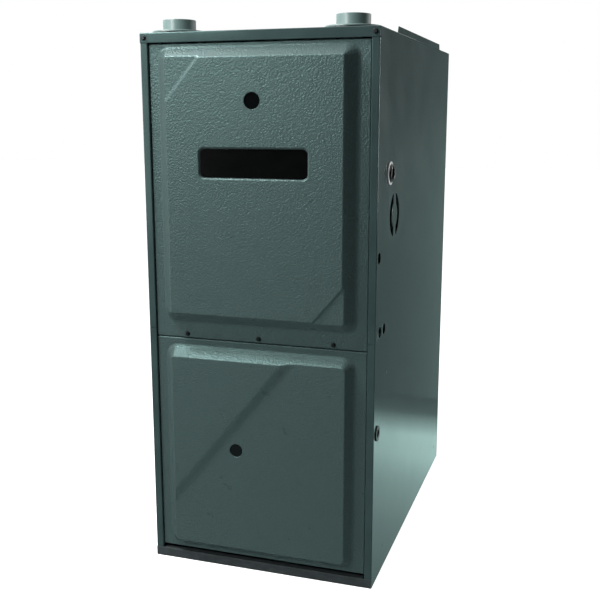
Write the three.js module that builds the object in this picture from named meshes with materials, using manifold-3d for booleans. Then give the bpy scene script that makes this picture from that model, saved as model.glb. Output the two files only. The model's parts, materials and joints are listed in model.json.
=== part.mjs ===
// Upflow forced air gas furnace, cabinet and working parts, in millimetres with +Z up.
// Inside the cabinet group x is across, y is the depth behind the front stiles, z is the height.
import * as THREE from 'three';
import { mergeVertices } from 'three/addons/utils/BufferGeometryUtils.js';
import Module from 'manifold-3d';

const wasm = await Module();
wasm.setup();

// Driving dimensions.
const width = 444.5;
const depth = 714.4;
const height = 1016;
const sheet = 1.2;
const gap = 0.3;
const doorProud = 20;
const stileWidth = 13.5;
const stripHeight = 18;
const stripProud = 0.8;
const seamHeight = 455.7;
const doorRecess = 4;
const rimReturn = 12;
const deckHeight = 474.8;
const vestibuleDepth = 190;
const outlet = { halfWidth: 203.2, front: 222, rear: 695, flange: 20, frontFlange: 8 };
const collar = { outer: 30.15, bore: 26.2, flange: 50, rise: 25, depth: 55, intakeX: -169, flueX: 161.6 };
const burnerHeight = 880;
const tubeX = [-130, 0, 130];
const gasLine = { depth: 92, height: 768, hole: 19 };
const blower = { depth: 430, height: 259.5, halfWidth: 115, wheel: 127 };
const inducer = { x: 90, depth: 122, height: 590 };

const insideX = width / 2 - sheet - gap;
const rearFace = depth - sheet - gap;

// Finishes.
function finish(color, roughness, metalness) {
  return new THREE.MeshStandardMaterial({ color, roughness, metalness });
}
const greyPaint = finish('#4b5d5c', 0.4, 0.1);
const darkPaint = finish('#2f3739', 0.5, 0.3);
const galvanised = finish('#a3a8a8', 0.4, 0.9);
const aluminised = finish('#b0aea8', 0.35, 0.95);
const castAlloy = finish('#8d9092', 0.5, 0.85);
const greyPlastic = finish('#8fa8a5', 0.45, 0);
const blackPlastic = finish('#17191a', 0.45, 0);
const blackRubber = finish('#101212', 0.6, 0);
const darkGlass = finish('#0b0e0f', 0.08, 0);
const motorPaint = finish('#2a2d30', 0.4, 0.4);
const blackSteel = finish('#1a1b1c', 0.5, 0.6);
const greenBoard = finish('#1f5a38', 0.5, 0);
const ceramic = finish('#e4ddcf', 0.7, 0);
const redPlastic = finish('#a3231d', 0.4, 0);

// Solid helpers.
function solid(geometry) {
  const bare = geometry.index ? geometry.toNonIndexed() : geometry.clone();
  bare.deleteAttribute('normal');
  bare.deleteAttribute('uv');
  const merged = mergeVertices(bare, 1e-4);
  const vertProperties = new Float32Array(merged.attributes.position.array);
  const triVerts = new Uint32Array(merged.index.array);
  return new wasm.Manifold(new wasm.Mesh({ numProp: 3, vertProperties, triVerts }));
}

function geometryOf(body) {
  const mesh = body.getMesh();
  const geometry = new THREE.BufferGeometry();
  geometry.setAttribute('position', new THREE.BufferAttribute(new Float32Array(mesh.vertProperties), 3));
  geometry.setIndex(new THREE.BufferAttribute(new Uint32Array(mesh.triVerts), 1));
  geometry.computeVertexNormals();
  return geometry;
}

// A box between two corners.
function block(x0, x1, y0, y1, z0, z1) {
  const geometry = new THREE.BoxGeometry(x1 - x0, y1 - y0, z1 - z0);
  geometry.translate((x0 + x1) / 2, (y0 + y1) / 2, (z0 + z1) / 2);
  return solid(geometry);
}

// A round bar along an axis, from one station to another, centred on two coordinates.
function bar(axis, centre, radius, from, to, sides = 18) {
  const geometry = new THREE.CylinderGeometry(radius, radius, to - from, sides);
  const middle = (from + to) / 2;
  if (axis === 'x') {
    geometry.rotateZ(-Math.PI / 2);
    geometry.translate(middle, centre[0], centre[1]);
  } else if (axis === 'y') {
    geometry.translate(centre[0], middle, centre[1]);
  } else {
    geometry.rotateX(Math.PI / 2);
    geometry.translate(centre[0], centre[1], middle);
  }
  return solid(geometry);
}

// A ring or stepped turning about a vertical axis from a closed profile of [radius, height].
function turned(profile, x, y, z, sides = 32) {
  const points = profile.map(([r, h]) => new THREE.Vector2(r, h));
  points.push(points[0].clone());
  const geometry = new THREE.LatheGeometry(points, sides);
  geometry.rotateX(Math.PI / 2);
  geometry.translate(x, y, z);
  return solid(geometry);
}

// A flat outline in x and z, given thickness from one depth to another.
function plateXZ(shape, y0, y1, curveSegments = 12) {
  const geometry = new THREE.ExtrudeGeometry(shape, { depth: y1 - y0, bevelEnabled: false, curveSegments });
  geometry.rotateX(Math.PI / 2);
  geometry.translate(0, y1, 0);
  return solid(geometry);
}

// A flat outline in y and z, given thickness from one x to another.
function plateYZ(shape, x0, x1, curveSegments = 12) {
  const geometry = new THREE.ExtrudeGeometry(shape, { depth: x1 - x0, bevelEnabled: false, curveSegments });
  geometry.rotateX(Math.PI / 2);
  geometry.rotateZ(Math.PI / 2);
  geometry.translate(x0, 0, 0);
  return solid(geometry);
}

function polygon(points) {
  return new THREE.Shape(points.map(([a, b]) => new THREE.Vector2(a, b)));
}

function joined(parts) {
  return parts.reduce((whole, part) => whole.add(part));
}

function cut(body, tools) {
  return tools.reduce((left, tool) => left.subtract(tool), body);
}

function piece(name, body, material, place = [0, 0, 0]) {
  const mesh = new THREE.Mesh(geometryOf(body), material);
  mesh.name = name;
  mesh.position.set(...place);
  return mesh;
}

// Cabinet.
const sideHoles = {
  gas: { y: gasLine.depth, z: gasLine.height, r: gasLine.hole },
  wiring: { y: 20, z: 623, r: 10.5 },
  drainFront: { y: 34, z: 486, r: 10.5 },
  drainRear: { y: 67, z: 486, r: 10.5 },
  lowVoltage: { y: 25, z: 298, r: 10.5 },
};
const ventKnockout = { y: 138, z: 689, outer: 41, inner: 23, tab: 9 };
const stileCut = { height: 471, thickness: 1 };
const railScrew = { inset: 8, drop: 9 };

// The ring slot round a vent knock-out, left in two arcs by the tabs above and below the disc.
function knockoutSlots(x0, x1) {
  const centre = [ventKnockout.y, ventKnockout.z];
  const ring = bar('x', centre, ventKnockout.outer, x0, x1, 28)
    .subtract(bar('x', centre, ventKnockout.inner, x0 - 1, x1 + 1, 20));
  const tabs = block(x0 - 1, x1 + 1, ventKnockout.y - ventKnockout.tab, ventKnockout.y + ventKnockout.tab,
    ventKnockout.z - 60, ventKnockout.z + 60);
  return ring.subtract(tabs);
}

// A side of the wrapper: web, front stile with its inner return, and rear flange.
// Only the right side has its service holes open; the left side keeps its knock-outs.
function sidePanel(side) {
  const outer = side * width / 2;
  const across = (a, b) => [outer - side * a, outer - side * b].sort((low, high) => low - high);
  const slab = (a, b, y0, y1, z0, z1) => block(...across(a, b), y0, y1, z0, z1);
  const web = slab(0, sheet, 0, rearFace - sheet, 0, height - sheet - gap);
  const stileSpan = [stripHeight + gap, height - stripHeight - gap];
  const stile = slab(0, stileWidth, 0, sheet, ...stileSpan);
  const inner = slab(stileWidth - sheet, stileWidth, 0, rimReturn, ...stileSpan);
  const rear = slab(0, 16, rearFace - sheet, rearFace, 0, height - sheet - gap);
  const tools = [
    slab(-1, 20, -2, 0.7, -1, stripHeight + gap),
    slab(-1, 20, -2, 0.7, height - stripHeight - gap, height + 1),
    slab(sheet, 20, -2, rimReturn + 1, stileCut.height, stileCut.height + stileCut.thickness),
    slab(-1, sheet + 0.01, -2, sheet, stileCut.height, stileCut.height + stileCut.thickness),
  ];
  if (side > 0) {
    const [x0, x1] = across(sheet + 2, -2);
    for (const hole of Object.values(sideHoles)) {
      tools.push(bar('x', [hole.y, hole.z], hole.r, x0, x1, 20));
    }
    tools.push(knockoutSlots(x0, x1));
  }
  return cut(joined([web, stile, inner, rear]), tools);
}

function basePan() {
  const plate = block(-insideX, insideX, 0, rearFace - sheet - gap, 0, sheet);
  const strip = block(-width / 2, width / 2, -stripProud, 0.4, 0, stripHeight);
  const innerLip = block(-insideX + 16, insideX - 16, 0, 12, stripHeight - sheet, stripHeight);
  return joined([plate, strip, innerLip]);
}

function topCover() {
  const plate = block(-width / 2, width / 2, -stripProud, depth, height - sheet, height);
  const rail = block(-width / 2, width / 2, -stripProud, 0.4, height - stripHeight, height);
  const lip = block(-insideX + 16, insideX - 16, 0, 9, height - stripHeight, height - stripHeight + sheet);
  const opening = block(-outlet.halfWidth - gap, outlet.halfWidth + gap, outlet.front - gap,
    outlet.rear + gap, height - 5, height + 5);
  const holes = [collar.intakeX, collar.flueX].map((x) =>
    bar('z', [x, collar.depth], collar.outer + gap, height - 5, height + 5, 24));
  const screws = [-1, 1].map((side) =>
    bar('y', [side * (width / 2 - railScrew.inset), height - railScrew.drop], 1.9, -2, 2, 12));
  return cut(joined([plate, rail, lip]), [opening, ...holes, ...screws]);
}

// Duct flanges turned up round the supply air outlet, low along the front, with relieved corners.
function supplyFlange() {
  const { halfWidth, front, rear, flange, frontFlange } = outlet;
  const low = height - 10;
  const high = height + flange;
  const shell = block(-halfWidth, halfWidth, front, rear, low, high)
    .subtract(block(-halfWidth + sheet, halfWidth - sheet, front + sheet, rear - sheet, low - 1, high + 1));
  const relief = (edge, inward, corner) => polygon([[edge - inward, height + 1], [edge + inward, height + 1],
    [edge + inward * corner, high + 1], [edge - inward, high + 1]]);
  const sideReliefs = [relief(front, 1, 12), relief(rear, -1, 8)].flatMap((shape) => [
    plateYZ(shape, -halfWidth - 2, -halfWidth + 2 * sheet),
    plateYZ(shape, halfWidth - 2 * sheet, halfWidth + 2),
  ]);
  const rearReliefs = [relief(halfWidth, -1, 10), relief(-halfWidth, 1, 10)].map((shape) =>
    plateXZ(shape, rear - sheet - 0.01, rear + 2));
  const frontTrim = block(-halfWidth - 1, halfWidth + 1, front - 1, front + sheet + 0.01,
    height + frontFlange, high + 1);
  return cut(shell, [...sideReliefs, ...rearReliefs, frontTrim]);
}

function pipeCollar(x) {
  const { outer, bore, flange, rise } = collar;
  const seat = 2.1;
  const profile = [[bore, -32], [outer, -32], [outer, seat], [flange, seat], [flange, seat + 1.4],
    [flange - 1.6, seat + 3], [outer, seat + 3], [outer, rise - 0.8], [outer - 0.8, rise], [bore, rise]];
  return turned(profile, x, collar.depth, height, 28);
}

function collarGasket(x) {
  const inner = collar.outer + gap;
  const outer = collar.flange + 1;
  return turned([[inner, gap], [outer, gap], [outer, 1.8], [inner, 1.8]], x, collar.depth, height, 24);
}

// Hex washer head screw lying along the depth, its head standing in front of a face.
function panelScrew(shank) {
  const washer = bar('y', [0, 0], 4.6, -1, 0, 16);
  const hex = bar('y', [0, 0], 3.4, -4, -0.5, 6);
  const thread = bar('y', [0, 0], 1.6, -0.5, shank, 8);
  return joined([washer, hex, thread]);
}

// Pressed doors.
// Rings of points at several depths, skinned into a closed solid with flat ends.
function loft(rings) {
  const count = rings[0].length;
  const positions = rings.flat(2);
  const index = [];
  for (let ring = 0; ring < rings.length - 1; ring += 1) {
    for (let i = 0; i < count; i += 1) {
      const a = ring * count + i;
      const b = ring * count + (i + 1) % count;
      index.push(a, b, a + count, b, b + count, a + count);
    }
  }
  const last = (rings.length - 1) * count;
  for (let i = 1; i < count - 1; i += 1) {
    index.push(0, i + 1, i, last, last + i, last + i + 1);
  }
  const geometry = new THREE.BufferGeometry();
  geometry.setAttribute('position', new THREE.Float32BufferAttribute(positions, 3));
  geometry.setIndex(index);
  return solid(geometry);
}

// A hollow pipe bent in the plane of depth and height, through [depth, height] stations.
function bentPipe(stations, outer, inner, sides) {
  const skin = (radius, overrun) => loft(stations.map(([y, z], i) => {
    const [y0, z0] = stations[Math.max(i - 1, 0)];
    const [y1, z1] = stations[Math.min(i + 1, stations.length - 1)];
    const along = new THREE.Vector2(y1 - y0, z1 - z0).normalize();
    const push = overrun * (i === 0 ? -1 : Number(i === stations.length - 1));
    const ring = [];
    for (let k = 0; k < sides; k += 1) {
      const angle = 2 * Math.PI * k / sides;
      const side = radius * Math.cos(angle);
      const up = -radius * Math.sin(angle);
      ring.push([side, y + along.x * push - along.y * up, z + along.y * push + along.x * up]);
    }
    return ring;
  }));
  return skin(outer, 0).subtract(skin(inner, 1));
}

// A rectangle with round corners at one depth, counterclockwise seen from the front.
function roundedRing(frame, radius, y, steps = 5) {
  const points = [];
  const corners = [[frame.right, frame.bottom, -90], [frame.right, frame.top, 0], [frame.left, frame.top, 90],
    [frame.left, frame.bottom, 180]];
  for (const [x, z, start] of corners) {
    const cx = x - Math.sign(x) * radius;
    const cz = z === frame.top ? z - radius : z + radius;
    for (let i = 0; i <= steps; i += 1) {
      const angle = THREE.MathUtils.degToRad(start + 90 * i / steps);
      points.push([cx + radius * Math.cos(angle), y, cz + radius * Math.sin(angle)]);
    }
  }
  return points;
}

function grown(frame, by) {
  return { left: frame.left - by, right: frame.right + by, bottom: frame.bottom - by, top: frame.top + by };
}

// The embossed field of a door: a frustum from its outline at the rim to its flat face.
function emboss(door, rise, inset) {
  const foot = grown(door.outline, -inset);
  const run = door.run * (rise + doorRecess) / (door.rise + doorRecess);
  const face = grown(door.outline, -run - inset);
  return loft([
    roundedRing(foot, door.radius, doorRecess + 2 + inset),
    roundedRing(foot, door.radius, doorRecess - inset * 0.4 + 0.01),
    roundedRing(face, door.radius * 0.8, -rise + inset),
  ]);
}

// The ground to the right of a crease line, moved to its left by the inset.
function lowSide([[x0, z0], [x1, z1]], inset) {
  const reach = 600;
  const ground = new THREE.BoxGeometry(reach * 2, reach, reach);
  ground.translate(0, 0, inset - reach / 2);
  ground.rotateY(-Math.atan2(z1 - z0, x1 - x0));
  ground.translate(x0, 0, z0);
  return solid(ground);
}

function pressedDoor(door) {
  const body = (inset) => {
    const rim = block(-door.halfWidth + inset, door.halfWidth - inset, doorRecess + inset,
      rimReturn + (inset ? 1 : 0), door.bottom + inset, door.top - inset);
    const low = emboss(door, door.lowRise, inset);
    const high = cut(emboss(door, door.rise, inset), door.creases.map((crease) => lowSide(crease, inset)));
    return joined([rim, low, high]);
  };
  const shell = body(0).subtract(body(sheet));
  return cut(shell, [bar('y', door.sight.at, door.sight.radius, -40, 4, 20)]);
}

const upperDoor = {
  halfWidth: 207.2, bottom: seamHeight + 1, top: 996, rise: 20, lowRise: 17, run: 20, radius: 22,
  outline: { left: -186, right: 186, bottom: 488, top: 990 },
  creases: [[[-64.6, 1010], [-220, 830]], [[52.6, 440], [220, 636]]],
  sight: { at: [0, 895], radius: 15.5, rise: 20 },
};
const lowerDoor = {
  halfWidth: 207.2, bottom: 24.6, top: seamHeight - 1, rise: 18, lowRise: 13.4, run: 17, radius: 22,
  outline: { left: -186, right: 184, bottom: 33, top: 440 },
  creases: [[[-220, 91.4], [89.3, 470]]],
  sight: { at: [-41.6, 247], radius: 13.4, rise: 13.4 },
};
const badge = { halfWidth: 102, bottom: 760, top: 813, deep: 5, radius: 9 };
const doorScrewX = [-144, 0, 144];
const doorScrewHeight = 464;

function upperDoorPanel() {
  const frame = { left: -badge.halfWidth, right: badge.halfWidth, bottom: badge.bottom, top: badge.top };
  const face = -upperDoor.rise;
  const pocket = (by) => loft([
    roundedRing(grown(frame, by), badge.radius, face + badge.deep + by),
    roundedRing(grown(frame, by + 3), badge.radius + 3, face - (by ? -sheet : 1)),
  ]);
  const boss = pocket(sheet);
  const holes = doorScrewX.map((x) =>
    bar('y', [x, doorScrewHeight], 2.2, doorRecess - 2, doorRecess + 3, 12));
  return cut(pressedDoor(upperDoor).add(boss), [pocket(0), ...holes]);
}

function nameplate() {
  const pocket = { left: -badge.halfWidth, right: badge.halfWidth, bottom: badge.bottom, top: badge.top };
  const frame = grown(pocket, -1.2);
  const back = -upperDoor.rise + badge.deep - gap;
  return loft([roundedRing(frame, badge.radius - 1, back), roundedRing(frame, badge.radius - 1, back - 1.5)]);
}

// A round glass behind the sight hole, clear of the back of the sheet.
function sightGlass({ sight }) {
  const face = -sight.rise + sheet + gap;
  return bar('y', sight.at, sight.radius + 5, face, face + 2.5, 20);
}

// Cabinet inside.
function centreRail() {
  const web = block(-insideX, insideX, rimReturn + 0.6, rimReturn + 0.6 + sheet, 450, deckHeight - gap);
  const lip = block(-insideX, insideX, rimReturn + 0.6, rimReturn + 20, 450, 450 + sheet);
  const notch = block(104, 132, rimReturn, rimReturn + 21, 440, 451.3);
  const holes = doorScrewX.map((x) => bar('y', [x, doorScrewHeight], 2.2, 10, 16, 12));
  return cut(joined([web, lip]), [notch, ...holes]);
}

function blowerDeck() {
  const back = rearFace - sheet - gap;
  const plate = block(-insideX, insideX, rimReturn + 0.6, back, deckHeight, deckHeight + sheet);
  const lip = block(-insideX, insideX, back - sheet, back, deckHeight, deckHeight + 25);
  const opening = block(-blower.halfWidth + 3, blower.halfWidth - 3, blower.depth + 52, blower.depth + 191,
    deckHeight - 5, deckHeight + 5);
  return cut(joined([plate, lip]), [opening]);
}

function vestibulePanel() {
  const low = deckHeight + sheet + gap;
  const high = height - sheet - gap;
  const panel = block(-insideX, insideX, vestibuleDepth, vestibuleDepth + sheet, low, high);
  const foot = block(-insideX, insideX, vestibuleDepth, vestibuleDepth + 14, low, low + sheet);
  const holes = tubeX.map((x) => bar('y', [x, burnerHeight], 24, 180, 200, 18));
  const coilWindow = block(-145, 145, 180, 200, 492, 612);
  return cut(joined([panel, foot]), [...holes, coilWindow]);
}

// Heat exchanger.
// One serpentine tube: in at the burner, back, down, forward, down and back to the rear header.
function exchangerTube() {
  const bend = 45;
  const front = 285;
  const rear = 560;
  const stations = [[vestibuleDepth + 2, burnerHeight]];
  const turn = (y, z, way) => {
    for (let i = 0; i <= 6; i += 1) {
      const angle = Math.PI * (0.5 - i / 6);
      stations.push([y + way * bend * Math.cos(angle), z + bend * Math.sin(angle)]);
    }
  };
  turn(rear, burnerHeight - bend, 1);
  turn(front, burnerHeight - 3 * bend, -1);
  stations.push([635, burnerHeight - 4 * bend]);
  return bentPipe(stations, 22, 20.5, 10);
}

function rearHeader() {
  const outer = block(-186, 186, 636, 690, 485, 735);
  const inner = block(-184.5, 184.5, 637.5, 688.5, 486.5, 733.5);
  const holes = tubeX.map((x) => bar('y', [x, burnerHeight - 180], 18, 630, 640, 18));
  const coilWindow = block(-170, 170, 630, 640, 500, 600);
  return cut(outer, [inner, ...holes, coilWindow]);
}

// Finned secondary coil with its two end plates.
function secondaryCoil() {
  const parts = [block(-190, 190, 196, 197.5, 482, 622), block(-190, 190, 634, 635.5, 482, 622)];
  for (let i = 0; i < 4; i += 1) {
    const z = 500 + i * 30;
    parts.push(block(-176, 176, 197, 634.5, z, z + 14));
  }
  for (let i = 0; i < 7; i += 1) {
    const y = 220 + i * 62;
    parts.push(block(-182, 182, y, y + 12, 490, 616));
  }
  return joined(parts);
}

function coilFrontCover() {
  const shell = block(-150, 150, 160, vestibuleDepth - gap, 487, 617)
    .subtract(block(-147, 147, 163, vestibuleDepth + 5, 490, 614));
  return shell.subtract(bar('y', [inducer.x, inducer.height], 22, 150, 170, 18));
}

// Burners and gas train.
const boxFront = 104;

function burnerBox() {
  const outer = block(-168, 168, boxFront, vestibuleDepth - gap, 836, 924);
  const inner = block(-166.8, 166.8, boxFront - 5, vestibuleDepth - sheet - gap, 837.2, 922.8);
  const holes = tubeX.map((x) => bar('y', [x, burnerHeight], 20, 170, 200, 18));
  return cut(outer, [inner, ...holes]);
}

// Inshot burners on one pressed rack, joined by their carry-over wings.
function burnerRack() {
  const wing = block(-146, 146, 160, 172, burnerHeight + 10, burnerHeight + 18);
  const barrels = tubeX.map((x) => bar('y', [x, burnerHeight], 16, 112, 184, 14));
  const foot = block(-146, 146, 118, 122, 838, burnerHeight - 8);
  const bores = tubeX.map((x) => bar('y', [x, burnerHeight], 13.5, 100, 195, 14));
  return cut(joined([wing, foot, ...barrels]), bores);
}

function gasManifold() {
  const rail = bar('x', [gasLine.depth, burnerHeight], 8, -146, 142, 16);
  const spuds = tubeX.map((x) => bar('y', [x, burnerHeight], 4.5, gasLine.depth, 108, 12));
  const drop = bar('z', [-60, gasLine.depth], 9, 808, burnerHeight, 16);
  const plugs = bar('x', [gasLine.depth, burnerHeight], 10, -150, -138, 6);
  return joined([rail, drop, plugs, ...spuds]);
}

function gasValve() {
  const body = block(-105, -15, 62, 122, 738, 798);
  const inlet = bar('x', [gasLine.depth, gasLine.height], 17, -20, 6, 6);
  const outletPort = bar('z', [-60, gasLine.depth], 16, 790, 807.5, 6);
  const coilHead = block(-100, -50, 66, 118, 718, 740);
  const terminals = block(-44, -22, 50, 64, 744, 760);
  const bore = bar('x', [gasLine.depth, gasLine.height], 10.5, -12, 10, 16);
  return cut(joined([body, inlet, outletPort, coilHead, terminals]), [bore]);
}

function gasValveKnob() {
  const dial = bar('y', [0, 0], 15, -9, 0, 20);
  const grip = block(-2.5, 2.5, -15, -8, -14, 14);
  return joined([dial, grip]);
}

function igniter() {
  const mount = block(152, 164, 150, 180, 838, 852);
  const holder = bar('z', [158, 168], 5, 845, 866, 14);
  const blade = block(156.8, 159.2, 165, 171, 864, 898);
  return joined([mount, holder, blade]);
}

function flameSensor() {
  const mount = block(-164, -152, 150, 180, 838, 844);
  const holder = bar('z', [-158, 168], 4.5, 843, 862, 14);
  const rod = bar('z', [-158, 168], 1.5, 861, 896, 10);
  return joined([mount, holder, rod]);
}

function rolloutSwitch() {
  const cup = bar('z', [0, 0], 11, 0, 9, 18);
  const ears = block(-19, 19, -5, 5, 0, 1.2);
  return cut(joined([cup, ears]), [bar('z', [0, 0], 3.4, 4, 10, 16)]);
}

function resetButton() {
  return joined([bar('z', [0, 0], 3, 6.5, 13, 16), bar('z', [0, 0], 2.2, 12.5, 14, 16)]);
}

// Draught inducer and flue.
function inducerHousing() {
  const { x, depth: y, height: z } = inducer;
  const outletX = collar.flueX;
  const wallRadius = 3;
  const scroll = bar('y', [x, z], 70, y - 24, y + 37, 28);
  const pipe = bar('z', [outletX, y], 27, z, z + 92, 20);
  const cavity = bar('y', [x, z], 70 - wallRadius, y - 21, y + 33, 28);
  const bore = bar('z', [outletX, y], 21, z + 5, z + 95, 18);
  const eye = bar('y', [x, z], 22, y + 30, y + 40, 18);
  const shaftHole = bar('y', [x, z], 6, y - 30, y - 18, 16);
  return cut(joined([scroll, pipe]), [cavity, bore, eye, shaftHole]);
}

function inducerWheel() {
  const disc = bar('y', [0, 0], 56, -14, -11.5, 24);
  const hub = bar('y', [0, 0], 10, -14, 12, 16);
  const shaft = bar('y', [0, 0], 4, -82, -12, 12);
  const parts = [disc, hub, shaft];
  for (let i = 0; i < 10; i += 1) {
    const blade = new THREE.BoxGeometry(46, 26, 2);
    blade.translate(32, 1, 0);
    blade.rotateY(i * Math.PI / 5);
    parts.push(solid(blade));
  }
  return joined(parts);
}

function inducerMotor() {
  const { x, depth: y, height: z } = inducer;
  const can = bar('y', [x, z], 41, y - 90, y - 34, 24);
  const boss = bar('y', [x, z], 16, y - 36, y - 24.3, 14);
  const feet = [30, 150, 270].map((angle) => {
    const turn = THREE.MathUtils.degToRad(angle);
    return bar('y', [x + 36 * Math.cos(turn), z + 36 * Math.sin(turn)], 4, y - 36, y - 24.3, 12);
  });
  const bore = bar('y', [x, z], 4.4, y - 84, y - 20, 14);
  return cut(joined([can, boss, ...feet]), [bore]);
}

function fluePipe() {
  const start = inducer.height + 95;
  const jog = 110;
  const stations = [[inducer.depth, start]];
  for (let i = 0; i <= 8; i += 1) {
    const share = i / 8;
    const swing = (1 - Math.cos(Math.PI * share)) / 2;
    stations.push([inducer.depth + (collar.depth - inducer.depth) * swing, start + 25 + jog * share]);
  }
  stations.push([collar.depth, height - 34]);
  return bentPipe(stations, 27, 24, 14);
}

function flueCoupling() {
  const profile = [[27.4, 0], [31, 0], [31, 9], [29.5, 12], [29.5, 24], [31, 27], [31, 36], [27.4, 36]];
  return turned(profile, collar.flueX, inducer.depth, inducer.height + 76, 28);
}

function pressureSwitch() {
  const can = bar('y', [-120, 668], 32, 158, 176, 24);
  const rim = bar('y', [-120, 668], 35, 164, 168, 24);
  const port = bar('y', [-120, 668], 4, 146, 159, 12);
  const bracket = block(-134, -106, 172, vestibuleDepth - gap, 628, 706);
  return joined([can, rim, port, bracket]);
}

function drainTrap() {
  const body = block(-206, -160, 62, 112, 500, 590);
  const ports = [bar('z', [-196, 87], 7, 588, 612, 14), bar('z', [-172, 87], 7, 588, 612, 14)];
  const drain = bar('x', [87, 520], 9, -216, -204, 16);
  const hollows = [bar('z', [-196, 87], 5, 520, 620, 12), bar('z', [-172, 87], 5, 520, 620, 12)];
  return cut(joined([body, drain, ...ports]), hollows);
}

// Circulating air blower.
// Scroll outline round the wheel: a spiral that opens to a straight outlet under the deck.
function scrollShape(inset, topRise) {
  const small = 140 - inset;
  const large = 195 - inset;
  const first = 70;
  const points = [];
  for (let i = 0; i <= 20; i += 1) {
    const angle = THREE.MathUtils.degToRad(first + (360 - first) * i / 20);
    const radius = small + (large - small) * i / 20;
    points.push([radius * Math.cos(angle), radius * Math.sin(angle)]);
  }
  points.push([large, topRise], [points[0][0], topRise]);
  return polygon(points);
}

function blowerHousing() {
  const { halfWidth } = blower;
  const outer = plateYZ(scrollShape(0, 214.8), -halfWidth, halfWidth);
  const cavity = plateYZ(scrollShape(1.5, 230), -halfWidth + 1.5, halfWidth - 1.5);
  const inlets = bar('x', [0, 0], 110, -halfWidth - 5, halfWidth + 5, 28);
  return cut(outer, [cavity, inlets]);
}

// Squirrel cage wheel on its hub disc and shaft.
function blowerWheel() {
  const blades = 24;
  const parts = [
    bar('x', [0, 0], blower.wheel, -98, -94, 18).subtract(bar('x', [0, 0], 106, -100, -90, 18)),
    bar('x', [0, 0], blower.wheel, 94, 98, 18).subtract(bar('x', [0, 0], 106, 90, 100, 18)),
    bar('x', [0, 0], 125, 40, 42, 18),
    bar('x', [0, 0], 16, 36, 56, 14),
    bar('x', [0, 0], 6.3, -80, 60, 14),
  ];
  for (let i = 0; i < blades; i += 1) {
    const blade = new THREE.BoxGeometry(194, 18, 1.6);
    blade.rotateX(0.5);
    blade.translate(0, 116, 0);
    blade.rotateX(i * 2 * Math.PI / blades);
    parts.push(solid(blade));
  }
  return joined(parts);
}

function blowerMotor() {
  const can = bar('x', [0, 0], 70, -108, 30, 28);
  const nose = bar('x', [0, 0], 30, 28, 34, 18);
  const bore = bar('x', [0, 0], 6.8, -84, 36, 16);
  return cut(joined([can, nose]), [bore]);
}

// Belly band round the motor with three arms out to the housing wall.
function motorBracket() {
  const band = bar('x', [0, 0], 74, -121, -103, 28).subtract(bar('x', [0, 0], 70.4, -130, -90, 28));
  const arms = [90, 210, 330].map((angle) => {
    const arm = new THREE.BoxGeometry(3, 60, 20);
    arm.translate(-118.6, 101, 0);
    arm.rotateX(THREE.MathUtils.degToRad(angle));
    return solid(arm);
  });
  return joined([band, ...arms]);
}

function runCapacitor() {
  const can = bar('z', [140, 270], 22, 340, 420, 18);
  const strap = block(blower.halfWidth + gap, 132, 256, 284, 372, 388);
  const terminals = joined([block(133, 137, 264, 276, 418, 430), block(143, 147, 264, 276, 418, 430)]);
  return joined([can, strap, terminals]);
}

// Controls.
const controlFace = 80;

function controlBracket() {
  const plate = block(-220, 62, controlFace, controlFace + sheet, 165, 345);
  const foot = block(-220, -218.8, 45, controlFace + sheet, 165, 345);
  const ribs = [165, 345 - sheet].map((z) => block(-218.9, 62, 70, controlFace + sheet, z, z + sheet));
  return joined([plate, foot, ...ribs]);
}

function controlBoard() {
  const board = block(-140, 40, 75, 76.6, 192, 322);
  const relays = [-128, -94, -60].map((x) => block(x, x + 26, 55, 76, 280, 308));
  const terminals = block(-10, 30, 62, 76, 205, 218);
  const chip = block(-60, -24, 71, 76, 238, 256);
  const plug = block(-130, -100, 60, 76, 205, 250);
  const standoffs = [[-134, 198], [34, 198], [-134, 316], [34, 316]].map(([x, z]) =>
    bar('y', [x, z], 3.5, 76, controlFace - gap, 10));
  return joined([board, ...relays, terminals, chip, plug, ...standoffs]);
}

function transformer() {
  const stack = block(-208, -152, 34, 68, 205, 260);
  const coil = block(-200, -160, 24, 78, 214, 251);
  const feet = block(-214, -146, 76, controlFace - gap, 210, 255);
  return joined([stack, coil, feet]);
}

const plungerAt = { x: 118, z: 444.5 };

function doorSwitch() {
  const { x, z } = plungerAt;
  const body = block(x - 10, x + 10, rimReturn + 22, 62, 428, 458);
  const hanger = block(x - 12, x + 12, 50, 62, 430, deckHeight - gap);
  const bore = bar('y', [x, z], 3.9, rimReturn + 18, 48, 16);
  return cut(joined([body, hanger]), [bore]);
}

function doorSwitchPlunger() {
  const tip = doorRecess + sheet + 0.5;
  return joined([bar('y', [0, 0], 3.4, tip + 0.2, 40, 16), bar('y', [0, 0], 4.6, tip, tip + 4.3, 16)]);
}

function gasLineGrommet() {
  const face = width / 2;
  const { depth: y, height: z } = gasLine;
  const base = bar('x', [y, z], 21.5, face + gap, face + 3, 24);
  const cone = solid(new THREE.CylinderGeometry(15, 18.5, 4, 32).rotateZ(-Math.PI / 2)
    .translate(face + 5, y, z));
  const neck = bar('x', [y, z], 18.4, face - 6, face + 1, 24);
  const bore = bar('x', [y, z], 11.5, face - 10, face + 10, 18);
  return cut(joined([base, cone, neck]), [bore]);
}

function wiringBushing() {
  const face = width / 2;
  const { y, z } = sideHoles.lowVoltage;
  const rim = bar('x', [y, z], 14.5, face + gap, face + 2.3, 20);
  const neck = bar('x', [y, z], 10.1, face - 6, face + 1, 18);
  const bore = bar('x', [y, z], 7.5, face - 10, face + 5, 18);
  return cut(joined([rim, neck]), [bore]);
}

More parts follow.
